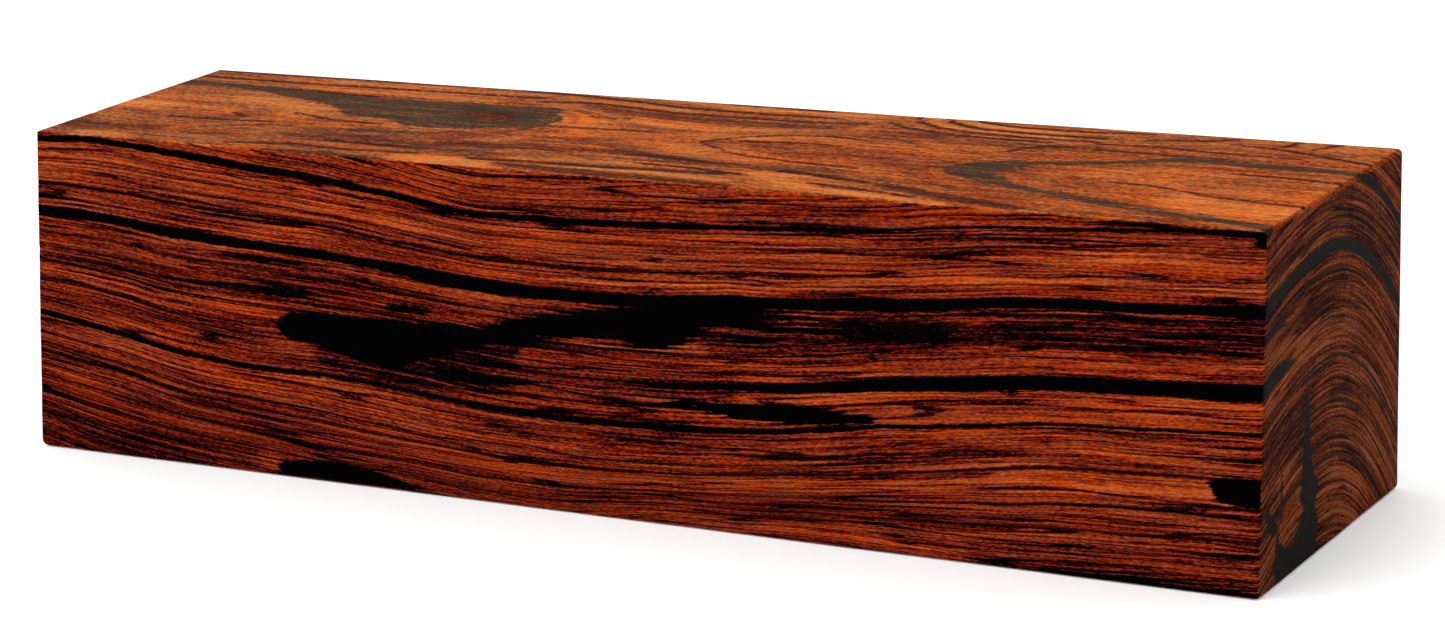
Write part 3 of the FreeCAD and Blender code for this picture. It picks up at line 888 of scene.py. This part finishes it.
def black_patches(g, wood):
    """The drawn black patches, with edges torn along the grain, more so right of the middle."""
    fray = g.math("MULTIPLY", g.step(wood.x, *RIGHTWARD), g.math("SUBTRACT", 1.0, wood.end))
    fray = g.math("MULTIPLY_ADD", fray, FRAY, 1.0)
    torn = g.math("MULTIPLY_ADD", g.math("SUBTRACT", 0.5, wood.hair), fray, g.attribute("black"))
    torn = g.sway(wood.rag, PATCH_RAG, torn)
    torn = g.sway(wood.pore, PATCH_PORE, torn, where=g.math("ADD", wood.end, wood.up))
    return g.step(torn, *PATCH_EDGE)


def colour_swing(g, wood, tone):
    """A factor that swings the colour between a clear orange and, where it is dark, a duller brown."""
    slow, fine = (wood.grain(kind, wood.layer) for kind in ("slow", "fine"))
    swing = g.math("MULTIPLY_ADD", slow, SLOW_SWING, g.math("MULTIPLY_ADD", fine, FINE_SWING, SWING_START))
    calm = g.math("MULTIPLY_ADD", g.math("ADD", wood.up, wood.end), SWING_CALM, 1.0)
    swing = g.math("MULTIPLY", swing, calm)
    swing = g.math("MAXIMUM", g.math("MINIMUM", swing, SWING_LIMIT), g.math("MULTIPLY_ADD", tone, *SWING_LEAST))
    return g.vector(g.math("MULTIPLY_ADD", swing, RED_SWING, 1.0), g.math("MULTIPLY_ADD", swing, GREEN_SWING, 1.0),
                    g.math("MULTIPLY", g.math("POWER", BLUE_SWING, swing), BLUE))


def gained(stops, gain):
    """The colour stops with their red, green and blue multiplied by the gain."""
    return [(place, tuple(part * by for part, by in zip(colour, gain))) for place, colour in stops]


def wood_colour(g, wood):
    """The wood without its black figure, by face: painted light and a painted sheen on the top, painted shade on the
    ends.
    """
    tone = wood_tone(g, wood)
    # The top's ramp carries painted light and sheen, the ends' ramp painted shade besides the darker end grain.
    side, top, end = (g.ramp(tone, gained(stops, gain)) for stops, gain in
                      ((SIDE_WOOD, SIDE_GAIN), (TOP_WOOD_LIT_AND_SHEEN, TOP_GAIN), (END_WOOD_AND_SHADE, END_GAIN)))
    colour = g.mix(wood.end, g.mix(wood.up, side, top), end)
    colour = g.mix(g.math("MULTIPLY", wood.pores, wood.by_face(*PORES_BY)), colour, PORE_COLOUR)
    colour = g.mix(1.0, colour, colour_swing(g, wood, tone), "MULTIPLY")
    # The top is warmer from its middle to its right end.
    warm = g.math("MULTIPLY", wood.up, g.step(wood.x, *RIGHTWARD))
    warm = g.math("MULTIPLY", warm, g.step(wood.layer, *WARM_LAYERS))
    return g.mix(warm, colour, g.mix(1.0, colour, WARMTH, "MULTIPLY"))


def black_with_painted_sheen(g, wood):
    """The black figure's colour: near black on the long sides, slate grey on the top and the ends, where a painted
    sheen stands in for the grazing reflection.
    """
    slate = g.mix(wood.up, SIDE_SLATE, g.ramp(wood.fibre, TOP_PAINTED_SHEEN))
    return g.mix(wood.end, slate, g.ramp(wood.pore, END_PAINTED_SHEEN))


def make_rosewood():
    """Dense, dark, oily hardwood: orange to red-brown wood between black figure, fine lines and pores."""
    material = bpy.data.materials.new("rosewood")
    material.use_nodes = True
    g = Graph(material.node_tree)
    wood = Wood(g)
    dark = g.math("MAXIMUM", black_streaks(g, wood), black_patches(g, wood))
    # On the top, the wood shows through the black in places.
    mottle = g.math("MULTIPLY_ADD", wood.bead, 0.5, g.math("MULTIPLY", wood.fibre, 0.5))
    thin = g.math("MULTIPLY", wood.up, g.step(mottle, *MOTTLE_EDGE))
    dark = g.math("MULTIPLY", dark, g.math("MULTIPLY_ADD", thin, SHOW_THROUGH, 1.0))
    # On the top and the ends the black carries a painted sheen.
    colour = g.mix(dark, wood_colour(g, wood), black_with_painted_sheen(g, wood))

    pits = g.math("MULTIPLY", wood.pores, PORE_DEPTH)
    height = g.math("SUBTRACT", g.math("MULTIPLY", wood.hair, HAIR_HEIGHT), pits)
    bump = g.add("Bump", {"Strength": BUMP, "Distance": BUMP_DISTANCE, "Height": height}).outputs[0]
    roughness = g.math("MULTIPLY_ADD", wood.hair, ROUGH_MORE, ROUGH_LEAST)
    shader = g.add("BsdfPrincipled", {
        "Base Color": colour, "Roughness": roughness, "Specular IOR Level": SPECULAR, "Normal": bump,
    })
    g.add("OutputMaterial", {"Surface": shader.outputs[0]})
    return material


# The floor lies a hair below the blank, so that their faces don't meet.
FLOOR_HALF, FLOOR_DROP = 8.0, 0.0001
FLOOR_COLOUR = (0.93, 0.93, 0.93, 1)


def make_floor():
    """A wide, plain, pale floor."""
    half = FLOOR_HALF
    mesh = bpy.data.meshes.new("floor")
    mesh.from_pydata([(-half, -half, 0), (half, -half, 0), (half, half, 0), (-half, half, 0)], [], [(0, 1, 2, 3)])
    floor = bpy.data.objects.new("floor", mesh)
    floor.location.z = -FLOOR_DROP
    bpy.context.collection.objects.link(floor)
    material = bpy.data.materials.new("floor")
    material.use_nodes = True
    g = Graph(material.node_tree)
    shader = g.add("BsdfPrincipled", {"Base Color": FLOOR_COLOUR, "Roughness": 0.9, "Specular IOR Level": 0.1})
    g.add("OutputMaterial", {"Surface": shader.outputs[0]})
    mesh.materials.append(material)


# The lamp: place and aim in metres, diameter and power. The room: brightness.
LAMP_PLACE, LAMP_AIM, LAMP_WIDE, LAMP_POWER = (-0.55, -0.6, 2.1), (0, 0, 0.03), 1.3, 14
ROOM_LIGHT = 1.3


def make_light():
    """An even white room, and a weak, large, soft lamp above at the front left."""
    data = bpy.data.lights.new("key", "AREA")
    data.shape = "DISK"
    data.size = LAMP_WIDE
    data.energy = LAMP_POWER
    lamp = bpy.data.objects.new("key", data)
    lamp.location = LAMP_PLACE
    lamp.rotation_euler = (Vector(LAMP_AIM) - Vector(LAMP_PLACE)).to_track_quat("-Z", "Y").to_euler()
    bpy.context.collection.objects.link(lamp)

    world = bpy.data.worlds.new("studio")
    world.use_nodes = True
    g = Graph(world.node_tree)
    back = g.add("Background", {"Color": (1, 1, 1, 1), "Strength": ROOM_LIGHT})
    g.add("OutputWorld", {"Surface": back.outputs[0]})
    bpy.context.scene.world = world


# Camera: place in mm, turns in degrees and focal length in pixels of a 1445-wide frame.
CAMERA = (397.734, -725.55, 269.761)
YAW, PITCH, ROLL, FOCAL, WIDE = 28.089, 15.909, -2.626, 3814.556, 1445
SENSOR = 36


def make_camera():
    """The photograph's viewpoint."""
    yaw, pitch, roll = (math.radians(angle) for angle in (YAW, PITCH, ROLL))
    ahead = Vector((-math.sin(yaw) * math.cos(pitch), math.cos(yaw) * math.cos(pitch), -math.sin(pitch)))
    level = Vector((math.cos(yaw), math.sin(yaw), 0))
    upright = level.cross(ahead)
    right = level * math.cos(roll) + upright * math.sin(roll)
    top = upright * math.cos(roll) - level * math.sin(roll)
    data = bpy.data.cameras.new("camera")
    data.sensor_width = SENSOR
    data.lens = SENSOR * FOCAL / WIDE
    camera = bpy.data.objects.new("camera", data)
    turn = Matrix((right, top, -ahead)).transposed()
    camera.matrix_world = Matrix.Translation(Vector(CAMERA) * MM) @ turn.to_4x4()
    bpy.context.collection.objects.link(camera)
    bpy.context.scene.camera = camera


blank = make_blank()
blank.data.materials.append(make_rosewood())
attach(blank, "root")
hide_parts("turning_blank")
make_floor()
make_light()
make_camera()
bpy.context.scene.view_settings.view_transform = "Standard"
